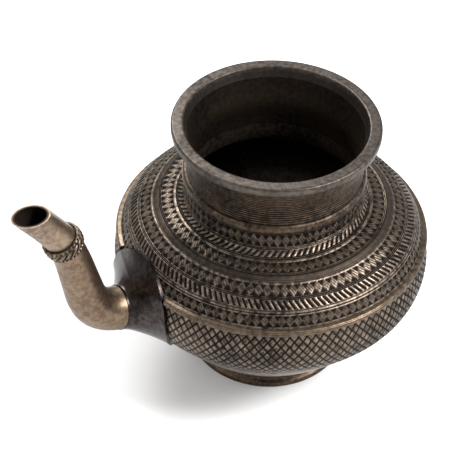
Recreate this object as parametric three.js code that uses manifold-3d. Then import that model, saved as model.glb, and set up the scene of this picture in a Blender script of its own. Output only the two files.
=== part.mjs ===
// A spouted holy water pot of cast and engraved bronze. Millimetres, +Z up.
// The origin is the centre of the foot's underside, and the spout points along -X.
import * as THREE from "three";
import { mergeVertices } from "three/addons/utils/BufferGeometryUtils.js";
import Module from "manifold-3d";

const wasm = await Module();
wasm.setup();

// Sizes of the turned body: radii and heights above the foot's underside.
const BELLY_RADIUS = 82.5;
const BELLY_HEIGHT = 67;
const SEAM_RADIUS = 79.6;
const SEAM_HEIGHT = 80;
const KEEL_RADIUS = 71;
const KEEL_HEIGHT = 42;
const HIP_RADIUS = 56;
const HIP_HEIGHT = 23.5;
const SHOULDER_RADIUS = 60;
const SHOULDER_HEIGHT = 98.5;
const NECK_FOOT_RADIUS = 45.6;
const NECK_FOOT_HEIGHT = 113.5;
const BODY_WALL = 2.6;

// Sizes of the raised bands that are turned on the shoulder.
const BAND_HEIGHT = 0.7;
const BAND_RADII = [60, 69.6, 75.2];
const BAND_WIDTHS = [3.2, 2.2, 2.2];

// Sizes of the neck, its bead and the rim.
const BEAD_HEIGHT = 6;
const BEAD_SWELL = 1.5;
const NECK_WAIST_RADIUS = 44.6;
const NECK_TOP_RADIUS = 47.4;
const NECK_WALL = 2.8;
const RIM_RADIUS = 52.6;
const RIM_BORE_RADIUS = 46.2;
const RIM_HEIGHT = 6;
const RIM_UNDERCUT = 2.4;
const MOUTH_HEIGHT = 148;

// Sizes of the foot and the disc that closes it.
const FOOT_RADIUS = 42;
const FOOT_TOP_RADIUS = 44;
const FOOT_WAIST_RADIUS = 40.4;
const FOOT_HEIGHT = 12;
const FOOT_WALL = 4;
const FOOT_LIP = 3;
const BASE_DISC_THICKNESS = 3;
const FIT_GAP = 0.3;

// Sizes of the ridge that covers the seam between the two halves of the body.
const RIDGE_WIDTH = 3.6;
const RIDGE_SWELL = 1.5;

// Sizes of the spout. Its centreline is a list of distances from the axis and heights.
const SPOUT_ROUTE = [
  [70, 63.4],
  [80, 63.2],
  [90, 64.2],
  [98, 66.8],
  [104.6, 72.4],
  [108.6, 81],
  [111.4, 93],
  [114, 105],
  [116.8, 115.4],
  [120.4, 124.4],
  [126.4, 133.6],
  [133, 143],
  [138, 150],
];
const SPOUT_BORE_AT_BODY = 9.4;
const SPOUT_BORE_AT_MOUTH = 6.2;
const SPOUT_WALL_AT_BODY = 3;
const SPOUT_WALL_AT_MOUTH = 1.6;
const SPOUT_WAIST = 0.9;
const SPOUT_MOUTH_HEIGHT = 145;
const FLANGE_RADIUS = 27.5;
const FLANGE_END = 92;
const FLANGE_EDGE = 1.8;
const FLANGE_NECK_STEP = 0.5;
const FLANGE_SIDES = 40;
const FLANGE_STEPS = 8;
const COLLAR_DISTANCE = 0.725;
const COLLAR_BAND_WIDTH = 3.4;
const COLLAR_BAND_SWELL = 1.6;
const COLLAR_WIRE_RADIUS = 0.75;
const COLLAR_CLEARANCE = 0.5;
const COLLAR_PITCH = COLLAR_BAND_WIDTH / 2 + COLLAR_WIRE_RADIUS + FIT_GAP;

// Fineness of the faceting.
const TURN_STEPS = 48;
const SPOUT_SIDES = 20;
const CURVE_STEPS = 5;

const BRONZE = { color: 0x2b2420, roughness: 0.5, metalness: 0.9 };
const DARK_BRONZE = { color: 0x1e1b1b, roughness: 0.55, metalness: 0.9 };
const WORN_BRASS = { color: 0x8a6f4d, roughness: 0.42, metalness: 0.9 };

const parts = new THREE.Group();

// Adds one named piece to the group.
function addPiece(name, geometry, look) {
  const mesh = new THREE.Mesh(geometry, new THREE.MeshStandardMaterial({ ...look }));
  mesh.name = name;
  parts.add(mesh);
  return mesh;
}

// Twice the area inside a closed outline; its sign gives the turning direction.
function signedArea(outline) {
  return outline.reduce((sum, p, i) => {
    const q = outline[(i + 1) % outline.length];
    return sum + p.x * q.y - q.x * p.y;
  }, 0);
}

// A solid of revolution about Z from an outline of (radius, height) points.
function turned(outline, steps = TURN_STEPS) {
  const onAxis = outline[0].x === 0;
  const ordered = signedArea(outline) > 0 ? outline : [...outline].reverse();
  const profile = onAxis ? ordered : [...ordered, ordered[0].clone()];
  return new THREE.LatheGeometry(profile, steps).rotateX(Math.PI / 2);
}

const at = (radius, height) => new THREE.Vector2(radius, height);

// Points on one smooth curve through the given ones.
function smooth(points, steps = CURVE_STEPS) {
  return new THREE.SplineCurve(points).getPoints(steps * (points.length - 1));
}

// The same curve moved sideways, to the left of its direction when the distance is positive.
function offset(points, distance) {
  return points.map((p, i) => {
    const before = points[Math.max(i - 1, 0)];
    const after = points[Math.min(i + 1, points.length - 1)];
    const along = after.clone().sub(before).normalize();
    return at(p.x - along.y * distance, p.y + along.x * distance);
  });
}

// A mesh as a manifold solid, and back.
function solidOf(geometry) {
  const bare = geometry.clone();
  bare.deleteAttribute("normal");
  bare.deleteAttribute("uv");
  const merged = mergeVertices(bare, 1e-3);
  return new wasm.Manifold(
    new wasm.Mesh({
      numProp: 3,
      vertProperties: new Float32Array(merged.attributes.position.array),
      triVerts: new Uint32Array(merged.index.array),
    }),
  );
}

function geometryOf(solid) {
  const mesh = solid.getMesh();
  return new THREE.BufferGeometry()
    .setAttribute("position", new THREE.BufferAttribute(mesh.vertProperties, 3))
    .setIndex(new THREE.BufferAttribute(mesh.triVerts, 1));
}

// The outside of the lower half, from the foot up to the seam.
const seatRadius = FOOT_TOP_RADIUS - 1;
const lowerOutside = smooth(
  [
    at(seatRadius, FOOT_HEIGHT),
    at(HIP_RADIUS, HIP_HEIGHT),
    at(KEEL_RADIUS, KEEL_HEIGHT),
    at(BELLY_RADIUS - 2.4, (KEEL_HEIGHT + BELLY_HEIGHT) / 2),
    at(BELLY_RADIUS, BELLY_HEIGHT),
    at(SEAM_RADIUS, SEAM_HEIGHT),
  ],
  4,
);

// The outside of the shoulder, from the seam up to the neck.
const shoulderCurve = smooth([
  at(SEAM_RADIUS, SEAM_HEIGHT),
  at(SEAM_RADIUS - 6.2, 90.4),
  at(SHOULDER_RADIUS, SHOULDER_HEIGHT),
  at(NECK_FOOT_RADIUS + 4, SHOULDER_HEIGHT + 3),
  at(NECK_FOOT_RADIUS + 0.5, SHOULDER_HEIGHT + 6.5),
  at(NECK_FOOT_RADIUS, NECK_FOOT_HEIGHT),
]);

// How far a raised band lifts the shoulder at a radius.
function bandLift(radius) {
  const over = BAND_RADII.some((middle, i) => Math.abs(radius - middle) < BAND_WIDTHS[i] / 2);
  return over ? BAND_HEIGHT : 0;
}

function lowerBowl() {
  const inside = offset(lowerOutside, BODY_WALL).reverse();
  const floor = inside[inside.length - 1];
  const outline = [
    at(0, FOOT_HEIGHT),
    ...lowerOutside,
    ...inside.map((p, i) => (i === 0 ? at(SEAM_RADIUS - BODY_WALL, SEAM_HEIGHT) : p)),
    at(0, floor.y),
  ];
  const bore = SPOUT_BORE_AT_BODY;
  const spoutHole = new THREE.CylinderGeometry(bore, bore, KEEL_HEIGHT, SPOUT_SIDES)
    .rotateZ(Math.PI / 2)
    .translate(-BELLY_RADIUS, 0, SPOUT_ROUTE[1][1]);
  return geometryOf(solidOf(turned(outline)).subtract(solidOf(spoutHole)));
}

function shoulderShell() {
  const lifts = shoulderCurve.map((p) => bandLift(p.x));
  const outside = shoulderCurve.map((p, i) => offset(shoulderCurve, -lifts[i])[i]);
  const inside = offset(shoulderCurve, BODY_WALL).reverse();
  inside[inside.length - 1] = at(SEAM_RADIUS - BODY_WALL, SEAM_HEIGHT);
  inside[0] = at(NECK_FOOT_RADIUS - BODY_WALL, NECK_FOOT_HEIGHT);
  return turned([...outside, ...inside]);
}

// The ridge round the body at the seam, on the outside of both halves. It stops at the spout.
function ridgeRing() {
  const seat = SEAM_RADIUS + FIT_GAP;
  const half = RIDGE_WIDTH / 2;
  const whole = turned([
    at(seat + 0.75, SEAM_HEIGHT - half),
    at(seat + RIDGE_SWELL, SEAM_HEIGHT - half * 0.5),
    at(seat + RIDGE_SWELL, SEAM_HEIGHT + half * 0.5),
    at(seat - 0.5, SEAM_HEIGHT + half),
    at(seat, SEAM_HEIGHT),
  ]);
  const radius = FLANGE_RADIUS + FIT_GAP;
  const parting = new THREE.CylinderGeometry(radius, radius, BELLY_RADIUS, FLANGE_SIDES)
    .rotateZ(Math.PI / 2)
    .translate(-BELLY_RADIUS, 0, SPOUT_ROUTE[1][1]);
  return geometryOf(solidOf(whole).subtract(solidOf(parting)));
}

const beadTop = NECK_FOOT_HEIGHT + BEAD_HEIGHT;
const rimFoot = MOUTH_HEIGHT - RIM_HEIGHT;

function neckBead() {
  const bore = NECK_FOOT_RADIUS - BODY_WALL;
  return turned([
    at(bore, NECK_FOOT_HEIGHT),
    at(NECK_FOOT_RADIUS, NECK_FOOT_HEIGHT),
    at(NECK_FOOT_RADIUS + BEAD_SWELL * 0.7, NECK_FOOT_HEIGHT + BEAD_HEIGHT * 0.2),
    at(NECK_FOOT_RADIUS + BEAD_SWELL, NECK_FOOT_HEIGHT + BEAD_HEIGHT * 0.5),
    at(NECK_FOOT_RADIUS + BEAD_SWELL * 0.5, NECK_FOOT_HEIGHT + BEAD_HEIGHT * 0.85),
    at(NECK_WAIST_RADIUS + 0.6, beadTop),
    at(NECK_WAIST_RADIUS - NECK_WALL, beadTop),
  ]);
}

function neckTube() {
  const outside = smooth(
    [
      at(NECK_WAIST_RADIUS + 0.6, beadTop),
      at(NECK_WAIST_RADIUS, (beadTop + rimFoot) / 2 - 4),
      at(NECK_TOP_RADIUS - 1.2, rimFoot - 7),
      at(NECK_TOP_RADIUS, rimFoot),
    ],
    4,
  );
  const inside = offset(outside, NECK_WALL).reverse();
  inside[0] = at(NECK_TOP_RADIUS - NECK_WALL, rimFoot);
  inside[inside.length - 1] = at(NECK_WAIST_RADIUS - NECK_WALL, beadTop);
  return turned([...outside, ...inside]);
}

function rimRing() {
  return turned([
    at(NECK_TOP_RADIUS - NECK_WALL, rimFoot),
    at(NECK_TOP_RADIUS, rimFoot),
    at(RIM_RADIUS - RIM_UNDERCUT, rimFoot + 0.4),
    at(RIM_RADIUS - 0.4, rimFoot + 1.6),
    at(RIM_RADIUS, rimFoot + 3),
    at(RIM_RADIUS, MOUTH_HEIGHT - 0.9),
    at(RIM_RADIUS - 0.9, MOUTH_HEIGHT),
    at(RIM_BORE_RADIUS + 0.5, MOUTH_HEIGHT),
    at(RIM_BORE_RADIUS, MOUTH_HEIGHT - 0.5),
  ]);
}

function footRing() {
  return turned([
    at(FOOT_RADIUS - FOOT_WALL, 0),
    at(FOOT_RADIUS, 0),
    at(FOOT_RADIUS + 0.5, 0.8),
    at(FOOT_RADIUS + 0.3, FOOT_LIP),
    at(FOOT_WAIST_RADIUS, FOOT_LIP + 1.4),
    at(FOOT_WAIST_RADIUS + 0.4, FOOT_HEIGHT - 4.4),
    at(FOOT_TOP_RADIUS - 0.6, FOOT_HEIGHT - 2.6),
    at(FOOT_TOP_RADIUS, FOOT_HEIGHT - 0.8),
    at(FOOT_TOP_RADIUS - 0.6, FOOT_HEIGHT),
    at(FOOT_RADIUS - FOOT_WALL, FOOT_HEIGHT),
  ]);
}

function baseDisc() {
  const radius = FOOT_RADIUS - FOOT_WALL - FIT_GAP;
  return turned([
    at(0, 0),
    at(radius, 0),
    at(radius, BASE_DISC_THICKNESS),
    at(0, BASE_DISC_THICKNESS),
  ]);
}

// The spout's centreline, and its outer and bore radius at a share of its length.
const spoutCurve = new THREE.CatmullRomCurve3(
  SPOUT_ROUTE.map(([distance, height]) => new THREE.Vector3(-distance, 0, height)),
);
const SPOUT_SAMPLES = 400;
spoutCurve.arcLengthDivisions = SPOUT_SAMPLES;

function boreRadius(share) {
  const narrowed = Math.min(1, share / COLLAR_DISTANCE);
  return THREE.MathUtils.lerp(SPOUT_BORE_AT_BODY, SPOUT_BORE_AT_MOUTH, narrowed);
}

function spoutRadius(share) {
  const wall = THREE.MathUtils.lerp(SPOUT_WALL_AT_BODY, SPOUT_WALL_AT_MOUTH, share);
  const waist = SPOUT_WAIST * Math.exp(-(((share - COLLAR_DISTANCE - 0.12) / 0.1) ** 2));
  return boreRadius(share) + wall - waist * 0.4;
}

// A ring of points square to the spout's centreline.
function spoutRing(share, radius) {
  const middle = spoutCurve.getPointAt(share);
  const along = spoutCurve.getTangentAt(share);
  const side = new THREE.Vector3(0, 1, 0);
  const up = new THREE.Vector3().crossVectors(side, along).normalize();
  return Array.from({ length: SPOUT_SIDES }, (_, i) => {
    const angle = (2 * Math.PI * i) / SPOUT_SIDES;
    return middle
      .clone()
      .addScaledVector(side, radius * Math.cos(angle))
      .addScaledVector(up, radius * Math.sin(angle));
  });
}

// A closed surface through rings of points, from each to the next and from the last to the first.
function stitched(rings) {
  const sides = rings[0].length;
  const index = [];
  rings.forEach((_, k) => {
    const next = (k + 1) % rings.length;
    for (let i = 0; i < sides; i += 1) {
      const j = (i + 1) % sides;
      const [a, b, c, d] = [k * sides + i, k * sides + j, next * sides + j, next * sides + i];
      index.push(a, b, c, a, c, d);
    }
  });
  const places = rings.flat().flatMap((p) => [p.x, p.y, p.z]);
  const geometry = new THREE.BufferGeometry()
    .setAttribute("position", new THREE.Float32BufferAttribute(places, 3))
    .setIndex(index);
  return solidOf(geometry).volume() > 0 ? geometry : geometry.setIndex(flipped(index));
}

// A bent pipe with its bore, along the spout from one share of its length to another.
function pipe(from, to, steps, outerRadius = spoutRadius) {
  const shares = Array.from({ length: steps + 1 }, (_, i) => from + ((to - from) * i) / steps);
  const rings = [
    ...shares.map((share) => spoutRing(share, outerRadius(share))),
    ...shares.map((share) => spoutRing(share, boreRadius(share))).reverse(),
  ];
  return stitched(rings);
}

function flipped(index) {
  return index.map((_, i) => index[i - (i % 3) + [0, 2, 1][i % 3]]);
}

// The share of the spout's length at which its centreline is a distance from the axis.
function shareAtDistance(distance) {
  for (let i = 0; i <= SPOUT_SAMPLES; i += 1)
    if (-spoutCurve.getPointAt(i / SPOUT_SAMPLES).x >= distance) return i / SPOUT_SAMPLES;
  return 1;
}

// The radius of an outline of (radius, height) points at a height.
function radiusAt(outline, height) {
  const above = outline.findIndex((p) => p.y >= height);
  const [low, high] = [outline[Math.max(above - 1, 0)], outline[Math.max(above, 1)]];
  return low.x + ((high.x - low.x) * (height - low.y)) / (high.y - low.y);
}

// The flange is a saddle that follows the body and draws up into the spout's neck,
// with a gap for the solder under it.
function spoutFlange() {
  const middle = SPOUT_ROUTE[1][1];
  const end = shareAtDistance(FLANGE_END);
  const neck = spoutRadius(end) + FLANGE_NECK_STEP;
  const body = [...lowerOutside, ...shoulderCurve.slice(1)];
  const seat = [
    ...offset(lowerOutside, -FIT_GAP),
    ...offset(shoulderCurve, -FIT_GAP - BAND_HEIGHT).slice(1),
  ];
  const endPlace = spoutCurve.getPointAt(end);
  const endAlong = spoutCurve.getTangentAt(end);
  const ring = (radius, distanceAt, height = middle) =>
    Array.from({ length: FLANGE_SIDES }, (_, i) => {
      const angle = (2 * Math.PI * i) / FLANGE_SIDES;
      const y = radius * Math.cos(angle);
      const z = height + radius * Math.sin(angle);
      return new THREE.Vector3(-distanceAt(y, z), y, z);
    });
  const endFace = (y, z) => FLANGE_END + ((z - endPlace.z) * endAlong.z) / endAlong.x;
  const on = (outline) => (y, z) => Math.sqrt(radiusAt(outline, z) ** 2 - y ** 2);
  const flare = Array.from({ length: FLANGE_STEPS + 1 }, (_, i) => {
    const turn = (Math.PI / 2) * (i / FLANGE_STEPS);
    const radius = neck + (FLANGE_RADIUS - neck) * (1 - Math.sin(turn));
    const rise = 1 - Math.cos(turn);
    const distanceAt = (y, z) =>
      THREE.MathUtils.lerp(on(body)(y, z) + FLANGE_EDGE, endFace(y, z), rise);
    return ring(radius, distanceAt, THREE.MathUtils.lerp(middle, endPlace.z, rise));
  });
  const under = Array.from({ length: FLANGE_STEPS + 1 }, (_, i) =>
    ring(
      THREE.MathUtils.lerp(SPOUT_BORE_AT_BODY, FLANGE_RADIUS - FIT_GAP, i / FLANGE_STEPS),
      on(seat),
    ),
  );
  return stitched([...flare, ring(boreRadius(end), endFace, endPlace.z), ...under]);
}

const tubeStart = shareAtDistance(FLANGE_END + FIT_GAP);
const jointGap = FIT_GAP / spoutCurve.getLength();

function spoutTube() {
  return pipe(tubeStart, COLLAR_DISTANCE - jointGap / 2, 18);
}

// The mouth piece is cut level across the top.
function spoutMouth() {
  const whole = solidOf(pipe(COLLAR_DISTANCE + jointGap / 2, 1, 7));
  const size = BELLY_RADIUS;
  const above = new THREE.BoxGeometry(size, size, size).translate(
    -SPOUT_ROUTE[11][0],
    0,
    SPOUT_MOUTH_HEIGHT + size / 2,
  );
  return geometryOf(whole.subtract(solidOf(above)));
}

// A ring round the spout, square to it at the joint and a distance along from there.
function collarRing(distance, width, swell) {
  const bore = spoutRadius(COLLAR_DISTANCE) + COLLAR_CLEARANCE;
  const outline = [
    at(bore, -width / 2),
    at(bore + swell * 0.55, -width / 2),
    at(bore + swell, -width / 5),
    at(bore + swell, width / 5),
    at(bore + swell * 0.55, width / 2),
    at(bore, width / 2),
  ];
  const ring = turned(outline, SPOUT_SIDES);
  const along = spoutCurve.getTangentAt(COLLAR_DISTANCE);
  const turn = new THREE.Quaternion().setFromUnitVectors(new THREE.Vector3(0, 0, 1), along);
  const place = spoutCurve.getPointAt(COLLAR_DISTANCE).addScaledVector(along, distance);
  return ring.applyQuaternion(turn).translate(place.x, place.y, place.z);
}

addPiece("lower_bowl", lowerBowl(), BRONZE);
addPiece("shoulder_shell", shoulderShell(), BRONZE);
addPiece("belly_ridge_ring", ridgeRing(), WORN_BRASS);
addPiece("neck_base_bead", neckBead(), BRONZE);
addPiece("neck_tube", neckTube(), BRONZE);
addPiece("rim_ring", rimRing(), BRONZE);
addPiece("foot_ring", footRing(), BRONZE);
addPiece("base_disc", baseDisc(), BRONZE);
addPiece("spout_flange", spoutFlange(), DARK_BRONZE);
addPiece("spout_tube", spoutTube(), WORN_BRASS);
addPiece("spout_mouthpiece", spoutMouth(), WORN_BRASS);
addPiece("collar_lower_wire", collarRing(-COLLAR_PITCH, 2 * COLLAR_WIRE_RADIUS, 1.2), BRONZE);
addPiece("collar_leaf_band", collarRing(0, COLLAR_BAND_WIDTH, COLLAR_BAND_SWELL), BRONZE);
addPiece("collar_upper_wire", collarRing(COLLAR_PITCH, 2 * COLLAR_WIRE_RADIUS, 1.2), BRONZE);

export default parts;
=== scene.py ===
import math

import bmesh
import bpy
import numpy as np
from mathutils import Matrix, Vector


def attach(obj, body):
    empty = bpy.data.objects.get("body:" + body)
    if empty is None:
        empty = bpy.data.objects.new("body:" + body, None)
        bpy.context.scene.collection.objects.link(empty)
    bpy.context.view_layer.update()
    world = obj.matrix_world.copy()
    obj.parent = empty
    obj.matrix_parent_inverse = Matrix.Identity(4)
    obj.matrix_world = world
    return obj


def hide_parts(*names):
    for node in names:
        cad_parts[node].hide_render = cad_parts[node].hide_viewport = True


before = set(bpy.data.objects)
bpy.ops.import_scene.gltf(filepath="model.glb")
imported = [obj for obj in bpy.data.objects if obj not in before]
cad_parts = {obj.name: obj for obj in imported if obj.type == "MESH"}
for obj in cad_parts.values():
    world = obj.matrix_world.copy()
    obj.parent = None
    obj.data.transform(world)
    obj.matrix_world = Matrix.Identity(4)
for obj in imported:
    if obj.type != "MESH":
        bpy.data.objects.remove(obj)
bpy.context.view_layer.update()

# The lower bowl is one thin casting of dark bronze, from the foot up to the seam. Grooves cross
# on its wall as a lattice, and a row of small teeth between two lines runs under the keel.
# Lines are (radius, height) points in millimetres, and the mesh is written in metres.
MM = 0.001
FOOT_TOP = (43, 12)
HIP = (56, 23.5)
KEEL = (71, 42)
LOWER_WALL = (80.1, 54.5)
BELLY = (82.5, 67)
SEAM = (79.6, 80)
BODY_WALL = 2.6
WALL_SPACING = 0.42
BASE_SPACING = 0.35
LINE_STEPS = 40
INNER_SPARSENESS = 8
FULL_CUT = 0.45
# Painted shade: the inner side of every turned casting is darkened towards the groove colour.
INNER_SHADE = 0.3
SHARP_EDGE = math.radians(50)


def smooth_line(points, steps):
    """Catmull-Rom between b and c: (2b + (c-a)t + (2a-5b+4c-d)t^2 + (3b-a-3c+d)t^3) / 2."""
    p = np.asarray(points, float)
    p = np.vstack([2 * p[0] - p[1], p, 2 * p[-1] - p[-2]])
    t = np.linspace(0, 1, steps, endpoint=False)[None, :, None]
    a, b, c, d = p[:-3, None], p[1:-2, None], p[2:-1, None], p[3:, None]
    square = 2 * a - 5 * b + 4 * c - d
    cube = 3 * b - a - 3 * c + d
    curve = (2 * b + (c - a) * t + square * t**2 + cube * t**3) / 2
    return np.vstack([curve.reshape(-1, p.shape[1]), p[-2]])


def arc_lengths(line):
    """The way along the line to each of its points: the running sum of |p(i+1) - p(i)|."""
    steps = np.linalg.norm(np.diff(line, axis=0), axis=1)
    return np.concatenate([[0], np.cumsum(steps)])


def even_line(line, spacing):
    """The same line with its points at equal steps of arc length."""
    arc = arc_lengths(line)
    even = np.linspace(0, arc[-1], max(2, int(round(arc[-1] / spacing)) + 1))
    return np.column_stack([np.interp(even, arc, line[:, k]) for k in range(line.shape[1])])


def outward(line):
    """Unit normals on the right of the line: the tangent (x, y) turned to (y, -x)."""
    along = np.gradient(line, axis=0)
    along /= np.linalg.norm(along, axis=1, keepdims=True)
    return np.column_stack([along[:, 1], -along[:, 0]])


def inside_of(line, wall, sparseness):
    """The line moved inwards by the wall, run back from its end with fewer points."""
    return (line - wall * outward(line))[::-1][::sparseness]


def closed_skin(name, grid, cut, material, poles=False):
    """Quads between each row and column of points and the next, round and round both ways.

    With poles, the first and last row are single points instead and aren't joined to each other.
    """
    rows, columns = grid.shape[:2]
    index = np.arange(rows * columns).reshape(rows, columns)
    low = index[:-1] if poles else index
    high = index[1:] if poles else np.roll(index, -1, axis=0)
    corners = [low, np.roll(low, -1, axis=1), np.roll(high, -1, axis=1), high]
    quads = np.stack(corners, axis=-1).reshape(-1, 4)
    places = grid.reshape(-1, 3) * MM
    a, b, c, d = (places[quads[:, k]] for k in range(4))
    volume = np.sum(a * np.cross(b, c)) + np.sum(a * np.cross(c, d))
    if volume < 0:
        quads = quads[:, ::-1]
    mesh = bpy.data.meshes.new(name)
    mesh.vertices.add(len(places))
    mesh.vertices.foreach_set("co", places.ravel())
    mesh.loops.add(quads.size)
    mesh.loops.foreach_set("vertex_index", quads.ravel().astype(np.int32))
    mesh.polygons.add(len(quads))
    mesh.polygons.foreach_set("loop_start", np.arange(0, quads.size, 4, dtype=np.int32))
    mesh.polygons.foreach_set("use_smooth", np.ones(len(quads), bool))
    mesh.update(calc_edges=True)
    # The cut attribute holds the depth of the cuts, and painted shade on inner sides and in bores.
    share = np.broadcast_to(cut, (rows, columns)).astype(np.float32)
    mesh.attributes.new("cut", "FLOAT", "POINT").data.foreach_set("value", share.ravel())
    if poles:
        work = bmesh.new()
        work.from_mesh(mesh)
        bmesh.ops.remove_doubles(work, verts=work.verts, dist=1e-7)
        work.to_mesh(mesh)
        work.free()
    mesh.set_sharp_from_angle(angle=SHARP_EDGE)
    mesh.materials.append(material)
    piece = bpy.data.objects.new(name, mesh)
    bpy.context.scene.collection.objects.link(piece)
    return piece


def turned_casting(name, outer, inner, columns, material, relief=None, poles=False):
    """(r cos a, r sin a, z) for the outer line, then the inner one back, at each angle a.

    The outer line is first sunk along its normal by relief(a, s) at the arc length s.
    """
    angle = np.linspace(-math.pi, math.pi, columns, endpoint=False)[None, :]
    arc = arc_lengths(outer)[:, None]
    depth = np.zeros((len(outer), columns)) if relief is None else relief(angle, arc)
    normal = outward(outer)
    radius = np.vstack([outer[:, :1] - normal[:, :1] * depth, inner[:, :1] + 0 * angle])
    height = np.vstack([outer[:, 1:] - normal[:, 1:] * depth, inner[:, 1:] + 0 * angle])
    # The inner line's cut value is painted shade, a fixed part of the way to the groove colour.
    cut = np.vstack([np.clip(depth / FULL_CUT, 0, 1), np.full((len(inner), columns), INNER_SHADE)])
    grid = np.stack([radius * np.cos(angle), radius * np.sin(angle), height], axis=-1)
    return closed_skin(name, grid, cut, material, poles)


def patina_group():
    """Body colour, stained where noise is high, bright on rubbed crests, dark where cut is deep."""
    group = bpy.data.node_groups.new("patina", "ShaderNodeTree")
    face = group.interface
    for label in ("Body", "Stain", "Bright", "Groove and Shade"):
        face.new_socket(name=label, in_out="INPUT", socket_type="NodeSocketColor")
    for label in ("Wear", "Stain Amount", "Roughness"):
        face.new_socket(name=label, in_out="INPUT", socket_type="NodeSocketFloat")
    face.new_socket(name="Color", in_out="OUTPUT", socket_type="NodeSocketColor")
    for label in ("Roughness", "Metallic", "Height"):
        face.new_socket(name=label, in_out="OUTPUT", socket_type="NodeSocketFloat")
    nodes, link = group.nodes, group.links.new
    given = nodes.new("NodeGroupInput").outputs
    result = nodes.new("NodeGroupOutput").inputs
    place = nodes.new("ShaderNodeTexCoord").outputs["Object"]
    cut_node = nodes.new("ShaderNodeAttribute")
    cut_node.attribute_name = "cut"
    cut = cut_node.outputs["Fac"]

    def noise(scale, detail):
        """Noise from 0 to 1 with scale clouds to the metre."""
        node = nodes.new("ShaderNodeTexNoise")
        node.inputs["Scale"].default_value = scale
        node.inputs["Detail"].default_value = detail
        link(place, node.inputs["Vector"])
        return node.outputs["Fac"]

    def reckon(operation, first, second, clamp=False):
        """The operation on two sockets or numbers."""
        node = nodes.new("ShaderNodeMath")
        node.operation = operation
        node.use_clamp = clamp
        for socket, value in zip(node.inputs, (first, second)):
            if isinstance(value, (int, float)):
                socket.default_value = value
            else:
                link(value, socket)
        return node.outputs[0]

    def spread(value, middle, gain):
        """(value - middle) * gain, kept from 0 to 1."""
        return reckon("MULTIPLY", reckon("SUBTRACT", value, middle), gain, clamp=True)

    def mixed(share, first, second):
        """The first colour at share 0 and the second at 1."""
        node = nodes.new("ShaderNodeMix")
        node.data_type = "RGBA"
        link(share, node.inputs["Factor"])
        link(first, node.inputs["A"])
        link(second, node.inputs["B"])
        return node.outputs["Result"]

    blotches = noise(scale=170, detail=5)
    grain = noise(scale=1500, detail=3)
    cloudy = spread(noise(scale=30, detail=7), middle=0.42, gain=5)
    cloudy = reckon("MULTIPLY", cloudy, given["Stain Amount"], clamp=True)
    speckled = spread(blotches, middle=0.56, gain=6)
    speckled = reckon("MULTIPLY", speckled, given["Stain Amount"], clamp=True)
    stain = reckon("MAXIMUM", cloudy, reckon("MULTIPLY", speckled, 0.6))
    rubbed = spread(noise(scale=420, detail=3), middle=0.38, gain=4)
    rubbed = reckon("MULTIPLY", rubbed, given["Wear"], clamp=True)
    crest = reckon("SUBTRACT", 1.0, reckon("MULTIPLY", cut, 2.2), clamp=True)
    # Dark towards the groove colour in deep cuts, and where shade is painted on inner sides and
    # bores.
    sunk_and_shaded = spread(cut, middle=0.12, gain=1.7)
    colour = mixed(stain, given["Body"], given["Stain"])
    colour = mixed(reckon("MULTIPLY", crest, rubbed, clamp=True), colour, given["Bright"])
    link(mixed(sunk_and_shaded, colour, given["Groove and Shade"]), result["Color"])
    rough = reckon("ADD", given["Roughness"], reckon("MULTIPLY", stain, 0.16))
    link(reckon("ADD", rough, reckon("MULTIPLY", sunk_and_shaded, 0.3), clamp=True), result["Roughness"])
    link(reckon("SUBTRACT", 0.94, reckon("MULTIPLY", sunk_and_shaded, 0.12)), result["Metallic"])
    link(reckon("ADD", reckon("MULTIPLY", grain, 0.5), blotches), result["Height"])
    return group


PATINA = patina_group()
GRAIN_HEIGHT = 0.4 * MM
METAL_SPECULAR = 0.25


def old_metal(name, body, stain, bright, groove, wear, stain_amount, roughness, grain):
    """A metal that takes its colour, roughness, metal share and grain from the patina."""
    material = bpy.data.materials.new(name)
    material.use_nodes = True
    nodes, link = material.node_tree.nodes, material.node_tree.links.new
    surface = nodes["Principled BSDF"]
    surface.inputs["Specular IOR Level"].default_value = METAL_SPECULAR
    patina = nodes.new("ShaderNodeGroup")
    patina.node_tree = PATINA
    patina.inputs["Body"].default_value = (*body, 1)
    patina.inputs["Stain"].default_value = (*stain, 1)
    patina.inputs["Bright"].default_value = (*bright, 1)
    patina.inputs["Groove and Shade"].default_value = (*groove, 1)
    patina.inputs["Wear"].default_value = wear
    patina.inputs["Stain Amount"].default_value = stain_amount
    patina.inputs["Roughness"].default_value = roughness
    bump = nodes.new("ShaderNodeBump")
    bump.inputs["Strength"].default_value = grain
    bump.inputs["Distance"].default_value = GRAIN_HEIGHT
    link(patina.outputs["Height"], bump.inputs["Height"])
    link(bump.outputs["Normal"], surface.inputs["Normal"])
    link(patina.outputs["Color"], surface.inputs["Base Color"])
    link(patina.outputs["Roughness"], surface.inputs["Roughness"])
    link(patina.outputs["Metallic"], surface.inputs["Metallic"])
    return material


engraved_bronze = old_metal(
    "engraved_bronze",
    body=(0.07, 0.053, 0.041),
    stain=(0.013, 0.0105, 0.009),
    bright=(0.31, 0.245, 0.19),
    groove=(0.005, 0.004, 0.003),
    wear=0.62,
    stain_amount=0.85,
    roughness=0.36,
    grain=0.25,
)
bowl_line = smooth_line([FOOT_TOP, HIP, KEEL, LOWER_WALL, BELLY, SEAM], LINE_STEPS)
wall_line = even_line(bowl_line[bowl_line[:, 1] >= KEEL[1]], WALL_SPACING)
wall_line[:, 0] = np.minimum(wall_line[:, 0], BELLY[0])  # the curve may swell past the belly
base_line = even_line(bowl_line[bowl_line[:, 1] <= KEEL[1]], BASE_SPACING)

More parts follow.
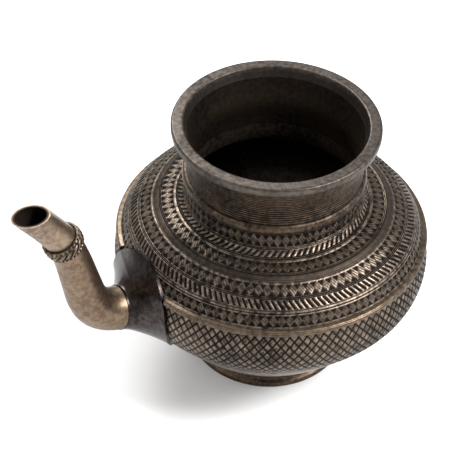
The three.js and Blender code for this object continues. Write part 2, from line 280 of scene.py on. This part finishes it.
# The lattice keeps 8 columns of points to each cell.
LATTICE_COUNT = 118
LATTICE_ROWS = 7.5
LATTICE_GROOVE = 0.17
LATTICE_BORDER = 0.9
LATTICE_BORDER_WIDTH = 0.7
LATTICE_MARGINS = (1.6, 1.4)
LATTICE_DEPTH = 0.45
HATCHES_PER_CELL = 3
LATTICE_HATCH_SHARE = 0.25
COLUMNS_PER_CUT = 8
wall_length = arc_lengths(wall_line)[-1]


def groove(x, width):
    """1 at every whole x and 0 from the width away: max(0, 1 - |x - round(x)| / width)."""
    return np.clip(1 - np.abs(x - np.round(x)) / width, 0, 1)


def line_at(s, place, width):
    """1 at the place and 0 from the width away: max(0, 1 - |s - place| / width)."""
    return np.clip(1 - np.abs(s - place) / width, 0, 1)


def lattice_relief(angle, s):
    """Grooves at whole u + kw and u - kw, with u cells round and w the share of the way up."""
    u = angle * LATTICE_COUNT / (2 * math.pi)
    climb = LATTICE_ROWS * s / wall_length
    crossing = np.maximum(groove(u + climb, LATTICE_GROOVE), groove(u - climb, LATTICE_GROOVE))
    hatch = LATTICE_HATCH_SHARE * groove(HATCHES_PER_CELL * (u + climb), 0.3)
    field = (s > LATTICE_MARGINS[0]) & (s < wall_length - LATTICE_MARGINS[1])
    border = line_at(s, LATTICE_BORDER, LATTICE_BORDER_WIDTH)
    return LATTICE_DEPTH * np.maximum(np.maximum(crossing, hatch) * field, border)


lattice_wall = turned_casting(
    "bowl_lattice_wall",
    wall_line,
    inside_of(wall_line, BODY_WALL, INNER_SPARSENESS),
    COLUMNS_PER_CUT * LATTICE_COUNT,
    engraved_bronze,
    lattice_relief,
)
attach(lattice_wall, "root")
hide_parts("lower_bowl")

# The bowl's base is the same casting, with a flat floor over the foot. The teeth and their two
# lines are measured along it from where it leaves the foot.
TOOTH_COUNT = 84
TOOTH_START = 11
TOOTH_HEIGHT = 4
TOOTH_LINES = (10.4, 15.8)
TOOTH_DEPTH = 0.35
TOOTH_EDGE = 0.3
TOOTH_LINE_WIDTH = 0.4
FLOOR_RADIUS = 42.5


def teeth_relief(angle, s):
    """Teeth |2u| = w that widen upwards, for w from 0 to 1, and a line on either side."""
    rise = s - FOOT_TOP[0]
    u = angle * TOOTH_COUNT / (2 * math.pi)
    w = (rise - TOOTH_START) / TOOTH_HEIGHT
    tooth = line_at(2 * np.abs(u - np.round(u)), w, TOOTH_EDGE) * ((w > 0) & (w < 1))
    lines = [line_at(rise, place, TOOTH_LINE_WIDTH) for place in TOOTH_LINES]
    return TOOTH_DEPTH * np.maximum(tooth, np.maximum(*lines))


floor_outside = [(0, FOOT_TOP[1]), (FLOOR_RADIUS, FOOT_TOP[1])]
floor_inside = [(0, FOOT_TOP[1] + BODY_WALL)]
bowl_base = turned_casting(
    "bowl_base",
    np.vstack([floor_outside, base_line]),
    np.vstack([inside_of(base_line, BODY_WALL, INNER_SPARSENESS), floor_inside]),
    COLUMNS_PER_CUT * TOOTH_COUNT,
    engraved_bronze,
    teeth_relief,
    poles=True,
)
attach(bowl_base, "root")
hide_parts("lower_bowl")

# The shoulder is the upper casting, soldered to the bowl at the seam. Rows of diamonds, leaves
# and rope are punched in it between turned lines, from the seam up the lower part of the neck.
SHOULDER_POINTS = [SEAM, (73.4, 90.4), (60, 98.5), (49.6, 101.5), (46.1, 105), (45.6, 113.5)]
SHOULDER_SPACING = 0.4
SHOULDER_COLUMNS = 1180
shoulder_line = even_line(smooth_line(SHOULDER_POINTS, LINE_STEPS), SHOULDER_SPACING)
shoulder_arc = arc_lengths(shoulder_line)


def arc_at_radius(radius):
    """The way up from the seam to where the shoulder has the radius."""
    return float(np.interp(-radius, -shoulder_line[:, 0], shoulder_arc))


def arc_at_height(height):
    """The way up from the seam to where the shoulder has the height."""
    return float(np.interp(height, shoulder_line[:, 1], shoulder_arc))


# Each diamond row has its lower and upper edge and its count round the pot.
DIAMOND_ROWS = (
    (arc_at_height(82.6), arc_at_radius(75.6), 118),
    (arc_at_radius(68.6), arc_at_radius(63.2), 98),
    (arc_at_radius(57.6), arc_at_radius(51.6), 84),
    (arc_at_height(105.6), arc_at_height(112.8), 72),
)
DIAMOND_DEPTH = 0.42
DIAMOND_OUTLINE_SHARE = 0.35
DIAMOND_HATCH_SHARE = 0.55
TRIANGLE_SHARE = 0.72
TRIANGLE_START = 1.04
TRIANGLE_SLOPE = 0.16
ROPE_EDGES = (arc_at_radius(73.6), arc_at_radius(70.1))
ROPE_COUNT = 155
ROPE_GROOVE = 0.34
LEAF_EDGES = (arc_at_radius(48.9), arc_at_height(103.8))
LEAF_COUNT = 96
LEAF_GROOVE = 0.3
SLANT = 0.9
SLANTED_DEPTH = 0.5
CHANNEL_EDGES = (arc_at_radius(61.2), arc_at_radius(58.8))
CHANNEL_DEPTH = 0.16
TURNED_LINES = (
    *(arc_at_radius(r) for r in (75.1, 74.2, 69.8, 69.1, 61.9, 61.2, 58.8, 58.1, 49.9, 49.2)),
    *(arc_at_height(z) for z in (104.3, 105.1)),
)
TURNED_LINE_WIDTH = 0.32
TURNED_LINE_DEPTH = 0.4


def diamonds(u, w):
    """Hatched diamonds |2u| + |2w - 1| < 1, outlined, with sunk triangles between them."""
    edge = 2 * np.abs(u - np.round(u)) + np.abs(2 * w - 1)
    outline = DIAMOND_OUTLINE_SHARE * line_at(edge, 0.96, width=0.2)
    hatch = groove(HATCHES_PER_CELL * (u + SLANT * w), 0.36) * (edge < 0.9)
    triangles = TRIANGLE_SHARE * np.clip((edge - TRIANGLE_START) / TRIANGLE_SLOPE, 0, 1)
    return np.maximum(np.maximum(outline, DIAMOND_HATCH_SHARE * hatch), triangles)


def row_share(s, edges):
    """The share w of the way across a row, and whether it is from 0 to 1."""
    w = (s - edges[0]) / (edges[1] - edges[0])
    return w, (w > 0) & (w < 1)


def shoulder_relief(angle, s):
    """The deepest of all the rows and lines: each row has u = count * a / 2 pi and its own w."""
    turns = angle / (2 * math.pi)
    depth = 0 * turns * s
    for low, high, count in DIAMOND_ROWS:
        w, within = row_share(s, (low, high))
        depth = np.maximum(depth, DIAMOND_DEPTH * diamonds(turns * count, w) * within)
    w, within = row_share(s, ROPE_EDGES)
    rope = groove(turns * ROPE_COUNT + SLANT * w, ROPE_GROOVE) * within
    w, within = row_share(s, LEAF_EDGES)
    leaves = groove(turns * LEAF_COUNT - SLANT * w, LEAF_GROOVE) * within
    depth = np.maximum(depth, SLANTED_DEPTH * np.maximum(rope, leaves))
    channel = (s > CHANNEL_EDGES[0]) & (s < CHANNEL_EDGES[1])
    depth = np.maximum(depth, CHANNEL_DEPTH * channel)
    for place in TURNED_LINES:
        depth = np.maximum(depth, TURNED_LINE_DEPTH * line_at(s, place, TURNED_LINE_WIDTH))
    return depth


# The shoulder is written as three rings, which meet in plain stretches between the rows.
OUTER_RING_END = 69.5
MIDDLE_RING_END = 58.4
shoulder_inside = shoulder_line - BODY_WALL * outward(shoulder_line)
outer_end = int(np.argmax(shoulder_line[:, 0] < OUTER_RING_END))
middle_end = int(np.argmax(shoulder_line[:, 0] < MIDDLE_RING_END))
neck_end = len(shoulder_line) - 1
for ring_name, begin, end in (
    ("shoulder_outer_rows", 0, outer_end),
    ("shoulder_middle_rows", outer_end, middle_end),
    ("shoulder_neck_rows", middle_end, neck_end),
):
    shoulder_ring = turned_casting(
        ring_name,
        shoulder_line[begin : end + 1],
        shoulder_inside[begin : end + 1][::-1][::4],
        SHOULDER_COLUMNS,
        engraved_bronze,
        lambda angle, s, before=shoulder_arc[begin]: shoulder_relief(angle, s + before),
    )
    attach(shoulder_ring, "root")
    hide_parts("shoulder_shell")

# The ridge is a turned brass ring, soldered over the seam, with four fine lines round it. Under
# the spout's saddle it sinks out of sight.
RIDGE_HALF = 1.8
RIDGE_ROUNDING = 1.9
RIDGE_SWELL = 1.5
RIDGE_SEAT = 0.3
RIDGE_BACK = 2.4
RIDGE_ROWS = 25
RIDGE_COLUMNS = 720
RIDGE_LINE_START = 0.6
RIDGE_LINE_WIDTH = 0.25
RIDGE_LINE_DEPTH = 0.22
SADDLE_HALF_ANGLE = math.radians(16.5)
SADDLE_DROP_ANGLE = math.radians(0.5)
SADDLE_DROP = 2.0
ridge_brass = old_metal(
    "ridge_brass",
    body=(0.105, 0.076, 0.053),
    stain=(0.03, 0.021, 0.016),
    bright=(0.3, 0.225, 0.16),
    groove=(0.006, 0.0045, 0.003),
    wear=0.4,
    stain_amount=0.7,
    roughness=0.34,
    grain=0.25,
)
ridge_level = np.linspace(-RIDGE_HALF, RIDGE_HALF, RIDGE_ROWS)
ridge_swell = RIDGE_SWELL * np.sqrt(1 - (ridge_level / RIDGE_ROUNDING) ** 2)
ridge_line = np.column_stack([SEAM[0] + RIDGE_SEAT + ridge_swell, SEAM[1] + ridge_level])
ridge_inside = np.array([
    (SEAM[0] - RIDGE_BACK, SEAM[1] + RIDGE_HALF),
    (SEAM[0] - RIDGE_BACK, SEAM[1] - RIDGE_HALF),
])


def ridge_relief(angle, s):
    """A line at every millimetre of arc, and a drop where pi - |a| is under the saddle's angle."""
    lines = RIDGE_LINE_DEPTH * groove(s - RIDGE_LINE_START, RIDGE_LINE_WIDTH)
    away = math.pi - np.abs(angle)
    under = np.clip((SADDLE_HALF_ANGLE - away) / SADDLE_DROP_ANGLE, 0, 1)
    return lines + SADDLE_DROP * under


belly_ridge = turned_casting(
    "belly_ridge", ridge_line, ridge_inside, RIDGE_COLUMNS, ridge_brass, ridge_relief
)
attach(belly_ridge, "root")
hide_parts("belly_ridge_ring")

# The bead is a smooth half-round ring of dark bronze, soldered between the shoulder's casting
# and the neck.
BEAD_FOOT = 113.5
BEAD_TOP = 119.5
BEAD_RADIUS = 45.4
BEAD_SWELL = 1.7
BEAD_ROWS = 17
TURNED_COLUMNS = 480
neck_bronze = old_metal(
    "neck_bronze",
    body=(0.055, 0.038, 0.026),
    stain=(0.010, 0.0085, 0.008),
    bright=(0.2, 0.145, 0.1),
    groove=(0.003, 0.0025, 0.002),
    wear=0.35,
    stain_amount=0.9,
    roughness=0.38,
    grain=0.2,
)
bead_turn = np.linspace(-1, 1, BEAD_ROWS)
bead_line = np.column_stack([
    BEAD_RADIUS + BEAD_SWELL * np.sqrt(1 - bead_turn**2),
    (BEAD_FOOT + BEAD_TOP + bead_turn * (BEAD_TOP - BEAD_FOOT)) / 2,
])
bead_inside = np.array([(42.6, BEAD_TOP), (43, BEAD_FOOT)])
neck_bead = turned_casting("neck_bead", bead_line, bead_inside, TURNED_COLUMNS, neck_bronze)
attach(neck_bead, "root")
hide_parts("neck_base_bead")

# The neck is a cast tube, waisted low and spread to the rim. Fine uneven lines are turned in it.
RIM_FOOT = 142
NECK_POINTS = [(45.2, BEAD_TOP), (44.6, 126.7), (46.2, 135), (47.4, RIM_FOOT)]
NECK_WALL = 2.8
NECK_SPACING = 0.17
NECK_STEPS = 30
NECK_INSIDE_SPARSENESS = 6
NECK_LINE_PITCH = 1.3
NECK_LINE_WIDTH = 0.36
NECK_LINE_DEPTH = 0.3
NECK_LINE_WAVER = 0.12
NECK_WAVER_RATE = 5.1
neck_line = even_line(smooth_line(NECK_POINTS, NECK_STEPS), NECK_SPACING)


def neck_relief(angle, s):
    """A line at every pitch, with the depth d + e sin(rate * s), the same at every angle."""
    depth = NECK_LINE_DEPTH + NECK_LINE_WAVER * np.sin(NECK_WAVER_RATE * s)
    return depth * groove(s / NECK_LINE_PITCH, NECK_LINE_WIDTH) + 0 * angle


neck_wall = turned_casting(
    "neck_wall",
    neck_line,
    inside_of(neck_line, NECK_WALL, NECK_INSIDE_SPARSENESS),
    TURNED_COLUMNS,
    neck_bronze,
    neck_relief,
)
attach(neck_wall, "root")
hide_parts("neck_tube")

# The rim is a thick cast ring on the neck, undercut below and filed flat on top, with its edges
# broken.
MOUTH_TOP = 148
rim_bronze = old_metal(
    "rim_bronze",
    body=(0.062, 0.052, 0.045),
    stain=(0.024, 0.02, 0.018),
    bright=(0.2, 0.168, 0.14),
    # The rim and base plate have no cuts, so this groove colour is only the painted shade on their
    # inner sides.
    groove=(0.008, 0.006, 0.005),
    wear=0.3,
    stain_amount=0.7,
    roughness=0.42,
    grain=0.35,
)
rim_line = even_line(
    np.array([
        (47.4, RIM_FOOT), (50.2, 142.2), (51.7, 142.9), (52.4, 143.8), (52.6, 145), (52.6, 146.9),
        (52.3, 147.6), (51.7, MOUTH_TOP), (46.9, MOUTH_TOP), (46.4, 147.8), (46.2, 147.4),
    ]),
    spacing=0.4,
)
rim_inside = np.array([(45.6, 145), (44.6, RIM_FOOT)])
rim = turned_casting("rim", rim_line, rim_inside, TURNED_COLUMNS, rim_bronze)
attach(rim, "root")
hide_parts("rim_ring")

# The foot is a turned bronze ring with a lip, a waist and a line in it, soldered under the bowl.
FOOT_INSIDE = 38
FOOT_COLUMNS = 360
foot_line = even_line(
    np.array([
        (42, 0), (42.4, 0.4), (42.5, 0.9), (42.3, 3), (40.6, 4.2), (40.5, 5.4), (41.1, 5.9),
        (40.6, 6.4), (40.8, 7.6), (43.4, 9.4), (44, 10.6), (43.9, 11.4), (43.4, FOOT_TOP[1]),
    ]),
    spacing=0.3,
)
foot_inside = np.array([(FOOT_INSIDE, FOOT_TOP[1]), (FOOT_INSIDE, 0)])
foot = turned_casting("foot", foot_line, foot_inside, FOOT_COLUMNS, neck_bronze)
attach(foot, "root")
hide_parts("foot_ring")

# The base plate is a plain bronze disc with broken edges, let into the foot from below.
PLATE_RADIUS = 37.7
PLATE_THICKNESS = 3
PLATE_COLUMNS = 240
plate_line = np.array([
    (0, 0), (20, 0), (PLATE_RADIUS - 0.5, 0), (PLATE_RADIUS, 0.4), (PLATE_RADIUS, 2.6),
    (PLATE_RADIUS - 0.4, PLATE_THICKNESS), (20, PLATE_THICKNESS),
])
plate_middle = np.array([(0.0, PLATE_THICKNESS)])
base_plate = turned_casting(
    "base_plate", plate_line, plate_middle, PLATE_COLUMNS, rim_bronze, poles=True
)
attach(base_plate, "root")
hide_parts("base_disc")

# The flange is a saddle of dark cast metal, soldered on the body over the ridge. It draws up
# from a round skirt into the neck that holds the spout.
SPOUT_HEIGHT = 63.2
SPOUT_ROUTE = [
    (70, 63.4), (80, 63.2), (90, 64.2), (98, 66.8), (104.6, 72.4), (108.6, 81), (111.4, 93),
    (114, 105), (116.8, 115.4), (120.4, 124.4), (126.4, 133.6), (133, 143), (138, 150),
]
BORE_AT_BODY = 9.4
BORE_AT_MOUTH = 6.2
SPOUT_WALL_AT_BODY = 3.0
SPOUT_WALL_AT_MOUTH = 1.6
COLLAR_SHARE = 0.725
WAIST_SHARE = COLLAR_SHARE + 0.12
WAIST_LENGTH = 0.1
WAIST_DEPTH = 0.36
FLANGE_RADIUS = 27.5
FLANGE_END = 92
FLANGE_EDGE = 1.8
FLANGE_END_SLOPE = 0.27
FLANGE_NECK_STEP = 0.05
FLARE_ROWS = 48
SEAT_ROWS = 12
SOLDER_GAP = 0.3
ROUTE_STEPS = 30
ROUTE_SPACING = 0.25
SPOUT_COLUMNS = 160
dark_bronze = old_metal(
    "dark_bronze",
    body=(0.024, 0.02, 0.02),
    stain=(0.01, 0.0085, 0.0085),
    bright=(0.14, 0.11, 0.095),
    groove=(0.008, 0.006, 0.005),
    wear=0.25,
    stain_amount=0.6,
    roughness=0.2,
    grain=0.35,
)
spout_line = even_line(smooth_line(SPOUT_ROUTE, ROUTE_STEPS), ROUTE_SPACING)
spout_share = np.linspace(0, 1, len(spout_line))
around = np.linspace(0, 2 * math.pi, SPOUT_COLUMNS, endpoint=False)[None, :]
body_line = np.vstack([bowl_line, shoulder_line[1:]])


def along_spout(share):
    """The centreline's distance from the axis and height at a share of its length."""
    return np.stack([np.interp(share, spout_share, spout_line[:, k]) for k in range(2)])


def bore_radius(share):
    """The bore narrows evenly from the body to the collar and then stays as it is."""
    narrowed = np.minimum(1, share / COLLAR_SHARE)
    return BORE_AT_BODY + (BORE_AT_MOUTH - BORE_AT_BODY) * narrowed


def spout_radius(share):
    """Bore + wall - waist, with the wall thinning evenly and the waist exp(-((t - t0) / l)^2)."""
    wall = SPOUT_WALL_AT_BODY + (SPOUT_WALL_AT_MOUTH - SPOUT_WALL_AT_BODY) * share
    waist = WAIST_DEPTH * np.exp(-(((share - WAIST_SHARE) / WAIST_LENGTH) ** 2))
    return bore_radius(share) + wall - waist


def body_distance(y, z):
    """How far out the body's outside is at (y, z): sqrt(r(z)^2 - y^2)."""
    return np.sqrt(np.interp(z, body_line[:, 1], body_line[:, 0]) ** 2 - y**2)


flange_share = float(np.interp(FLANGE_END, spout_line[:, 0], spout_share))
flange_end_height = along_spout(flange_share)[1]
flange_neck = spout_radius(flange_share) + FLANGE_NECK_STEP
quarter = np.linspace(0, math.pi / 2, FLARE_ROWS)[:, None]
flare_radius = flange_neck + (FLANGE_RADIUS - flange_neck) * (1 - np.sin(quarter))
flare_rise = 1 - np.cos(quarter)
flare_middle = SPOUT_HEIGHT + flare_rise * (flange_end_height - SPOUT_HEIGHT)
flare_y = flare_radius * np.cos(around)
flare_z = flare_middle + flare_radius * np.sin(around)
skirt = body_distance(flare_y, flare_z) + FLANGE_EDGE
end_face = FLANGE_END - FLANGE_END_SLOPE * (flare_z - flange_end_height)
flare = np.stack([-(skirt + flare_rise * (end_face - skirt)), flare_y, flare_z], axis=-1)
seat_radius = np.linspace(BORE_AT_BODY, FLANGE_RADIUS - SOLDER_GAP, SEAT_ROWS)[:, None]
seat_y = seat_radius * np.cos(around)
seat_z = SPOUT_HEIGHT + seat_radius * np.sin(around)
seat = np.stack([-(body_distance(seat_y, seat_z) - SOLDER_GAP), seat_y, seat_z], axis=-1)
spout_saddle = closed_skin("spout_saddle", np.vstack([flare, seat]), 0, dark_bronze)
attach(spout_saddle, "root")
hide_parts("spout_flange")

# The spout's pipe is brass, bent and browned and rubbed bright again by hands. It is brazed into
# the flange at one end and meets the mouthpiece under the collar.
JOINT_SHARE = 0.001
PIPE_START_SHARE = 0.0006
PIPE_ROWS = 170
# Painted shade: the bore of the pipe and mouthpiece is darkened all the way to the groove colour.
BORE_SHADE = 0.85
worn_brass = old_metal(
    "worn_brass",
    body=(0.165, 0.115, 0.078),
    stain=(0.07, 0.037, 0.019),
    bright=(0.34, 0.265, 0.195),
    # The pipe has no cuts, so this groove colour is only the painted shade in its bore.
    groove=(0.015, 0.01, 0.006),
    wear=0.3,
    stain_amount=0.5,
    roughness=0.36,
    grain=0.45,
)


def spout_points(share, radius):
    """Centre + radius (cos a, sin a) in the plane square to the centreline at the share."""
    share = share + 0 * around
    tangent = np.gradient(spout_line, axis=0)
    tangent /= np.linalg.norm(tangent, axis=1, keepdims=True)
    distance, height = along_spout(share)
    run, rise = (np.interp(share, spout_share, tangent[:, k]) for k in range(2))
    side = radius * np.cos(around) + 0 * share
    up = radius * np.sin(around)
    return np.stack([-(distance - rise * up), side, height + run * up], axis=-1)


def painted_bore_shade(rows):
    """0 on the first half of the rows, the outside, and the depth of painted shade on the bore."""
    return np.repeat([[0.0], [BORE_SHADE]], len(rows) // 2, axis=0)


pipe_share = np.linspace(
    flange_share + PIPE_START_SHARE, COLLAR_SHARE - JOINT_SHARE, PIPE_ROWS
)[:, None]
pipe = np.vstack([
    spout_points(pipe_share, spout_radius(pipe_share)),
    spout_points(pipe_share[::-1], bore_radius(pipe_share[::-1])),
])
# The bore gets painted shade.
spout_pipe = closed_skin("spout_pipe", pipe, painted_bore_shade(pipe), worn_brass)
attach(spout_pipe, "root")
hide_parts("spout_tube")

# The mouthpiece is a paler brass pipe that goes on from the collar and is filed level at its end.
SPOUT_TOP = 145
SPOUT_LEAN = 0.57
MOUTH_ROWS = 70
mouth_brass = old_metal(
    "mouth_brass",
    body=(0.2, 0.145, 0.102),
    stain=(0.075, 0.046, 0.038),
    bright=(0.4, 0.32, 0.24),
    # The mouthpiece has no cuts, so this groove colour is only the painted shade in its bore.
    groove=(0.015, 0.011, 0.008),
    wear=0.4,
    stain_amount=0.6,
    roughness=0.38,
    grain=0.45,
)
level_share = float(np.interp(SPOUT_TOP, spout_line[:, 1], spout_share))
climbs = np.gradient(spout_line[:, 1], spout_share)
level_climb = climbs[int(level_share * (len(spout_share) - 1))]


def mouth_share(radius):
    """Shares from the collar to where the height c + lean * r sin(a) comes level, c the centre."""
    start = COLLAR_SHARE + JOINT_SHARE
    stop = level_share - SPOUT_LEAN * radius * np.sin(around) / level_climb
    return start + np.linspace(0, 1, MOUTH_ROWS)[:, None] * (stop - start)


mouth_outside = mouth_share(spout_radius(level_share))
mouth_bore = mouth_share(bore_radius(level_share))[::-1]
mouth = np.vstack([
    spout_points(mouth_outside, spout_radius(mouth_outside)),
    spout_points(mouth_bore, bore_radius(mouth_bore)),
])
mouth[..., 2] = np.minimum(mouth[..., 2], SPOUT_TOP)
# The bore gets painted shade.
spout_mouth = closed_skin("spout_mouth", mouth, painted_bore_shade(mouth), mouth_brass)
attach(spout_mouth, "root")
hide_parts("spout_mouthpiece")

# The collar hides the joint of pipe and mouthpiece. It is three bronze rings, slipped on and
# soldered: a band of slanted leaves between two notched wires.
COLLAR_BORE = 8.6
COLLAR_PITCH = 2.75
COLLAR_AHEAD_SHARE = 0.02
COLLAR_CUT_DEPTH = 0.4
COLLAR_CUT_EDGE = 0.85
COLLAR_CUT_WIDTH = 0.3
COLLAR_ROWS = 21
COLLAR_COLUMNS = 240
WIRE_LOW_NOTCHES = 30
WIRE_TOP_NOTCHES = 26
LEAF_BAND_LEAVES = 16
WIRE_HALF = 0.75
WIRE_SWELL = 1.2
LEAF_BAND_HALF = 1.7
LEAF_BAND_SWELL = 1.6
LEAF_BAND_SLANT = 0.5
collar_bronze = old_metal(
    "collar_bronze",
    body=(0.1, 0.072, 0.05),
    stain=(0.03, 0.021, 0.015),
    bright=(0.34, 0.265, 0.195),
    groove=(0.006, 0.005, 0.004),
    wear=0.6,
    stain_amount=0.6,
    roughness=0.36,
    grain=0.25,
)
collar_distance, collar_height = along_spout(COLLAR_SHARE)
ahead = along_spout(COLLAR_SHARE + COLLAR_AHEAD_SHARE) - (collar_distance, collar_height)
collar_axis = np.array([-ahead[0], 0, ahead[1]])
collar_axis /= np.linalg.norm(collar_axis)
collar_side = np.array([0, 1, 0])
collar_up = np.cross(collar_side, collar_axis)
collar_turn = np.linspace(0, 2 * math.pi, COLLAR_COLUMNS, endpoint=False)[None, :]


def collar_ring(name, place, half, swell, count, slant):
    """Centre + r (cos a, sin a) square to the axis, with r = bore + swell (1 + sqrt(1 - v^2)) / 2.

    v runs from -1 to 1 across the ring, and cuts lie at whole count * a / 2 pi + slant * v.
    """
    v = np.linspace(-1, 1, COLLAR_ROWS)[:, None]
    cut = groove(collar_turn * count / (2 * math.pi) + slant * v, COLLAR_CUT_WIDTH)
    cut = cut * (np.abs(v) < COLLAR_CUT_EDGE)
    radius = COLLAR_BORE + swell * (1 + np.sqrt(1 - v**2)) / 2 - COLLAR_CUT_DEPTH * cut
    radius = np.vstack([radius, np.full((2, COLLAR_COLUMNS), COLLAR_BORE)])[..., None]
    level = np.vstack([v, [[1]], [[-1]]])[..., None] * half + place
    centre = np.array([-collar_distance, 0, collar_height]) + level * collar_axis
    turn = collar_turn[..., None]
    ring = centre + radius * (np.cos(turn) * collar_side + np.sin(turn) * collar_up)
    cut = np.vstack([cut, np.zeros((2, COLLAR_COLUMNS))])
    return closed_skin(name, ring, cut, collar_bronze)


wire_low = collar_ring(
    "collar_wire_low", -COLLAR_PITCH, WIRE_HALF, WIRE_SWELL, WIRE_LOW_NOTCHES, slant=0
)
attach(wire_low, "root")
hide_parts("collar_lower_wire")

leaf_band = collar_ring(
    "collar_leaves", 0, LEAF_BAND_HALF, LEAF_BAND_SWELL, LEAF_BAND_LEAVES, LEAF_BAND_SLANT
)
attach(leaf_band, "root")
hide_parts("collar_leaf_band")

wire_top = collar_ring(
    "collar_wire_top", COLLAR_PITCH, WIRE_HALF, WIRE_SWELL, WIRE_TOP_NOTCHES, slant=0
)
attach(wire_top, "root")
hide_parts("collar_upper_wire")

# The pot stands on a wide white sheet of matt paper, which keeps its shadow.
FLOOR_HALF = 3
FLOOR_WHITE = (0.95, 0.95, 0.95, 1)
floor_corners = [
    (-FLOOR_HALF, -FLOOR_HALF, 0), (FLOOR_HALF, -FLOOR_HALF, 0),
    (FLOOR_HALF, FLOOR_HALF, 0), (-FLOOR_HALF, FLOOR_HALF, 0),
]
floor_mesh = bpy.data.meshes.new("floor")
floor_mesh.from_pydata(floor_corners, [], [(0, 1, 2, 3)])
floor_paper = bpy.data.materials.new("floor_white")
floor_paper.use_nodes = True
paper_surface = floor_paper.node_tree.nodes["Principled BSDF"]
paper_surface.inputs["Base Color"].default_value = FLOOR_WHITE
paper_surface.inputs["Roughness"].default_value = 0.9
floor_mesh.materials.append(floor_paper)
floor = bpy.data.objects.new("floor", floor_mesh)
bpy.context.scene.collection.objects.link(floor)

# An even white surround and three soft square lamps light it. Each lamp has its place and its
# side in metres and its power in watts.
SURROUND_STRENGTH = 0.62
LAMP_AIM = Vector((0, 0, 0.08))
surround = bpy.data.worlds.new("surround")
surround.use_nodes = True
backdrop = surround.node_tree.nodes["Background"]
backdrop.inputs["Color"].default_value = (1, 1, 1, 1)
backdrop.inputs["Strength"].default_value = SURROUND_STRENGTH
bpy.context.scene.world = surround
for lamp_name, place, side, power in (
    ("key", Vector((0.45, -0.6, 0.85)), 0.35, 17),
    ("back", Vector((0.1, 0.8, 0.9)), 0.5, 11),
    ("left", Vector((-0.9, 0.1, 0.7)), 0.3, 2.5),
):
    lamp_light = bpy.data.lights.new(lamp_name, "AREA")
    lamp_light.size = side
    lamp_light.energy = power
    lamp = bpy.data.objects.new(lamp_name, lamp_light)
    lamp.location = place
    lamp.rotation_euler = (LAMP_AIM - place).to_track_quat("-Z", "Y").to_euler()
    bpy.context.scene.collection.objects.link(lamp)

# The camera looks down at the pot from the spout's side, rolled a little about its own axis.
CAMERA_PLACE = Vector((-0.3357, -0.4913, 0.6116))
CAMERA_AIM = Vector((-0.0207, 0.0129, 0.0786))
CAMERA_ROLL = math.radians(1.30)
CAMERA_FIELD = math.radians(16.825)
SENSOR_WIDTH = 36
camera_body = bpy.data.cameras.new("camera")
camera_body.sensor_width = SENSOR_WIDTH
camera_body.lens = SENSOR_WIDTH / 2 / math.tan(CAMERA_FIELD / 2)
camera = bpy.data.objects.new("camera", camera_body)
forward = (CAMERA_AIM - CAMERA_PLACE).normalized()
level_right = forward.cross(Vector((0, 0, 1))).normalized()
level_up = level_right.cross(forward)
right = level_right * math.cos(CAMERA_ROLL) + level_up * math.sin(CAMERA_ROLL)
up = right.cross(forward)
turned = Matrix((right, up, -forward)).transposed().to_4x4()
camera.matrix_world = Matrix.Translation(CAMERA_PLACE) @ turned
bpy.context.scene.collection.objects.link(camera)
bpy.context.scene.camera = camera
bpy.context.scene.view_settings.view_transform = "Standard"
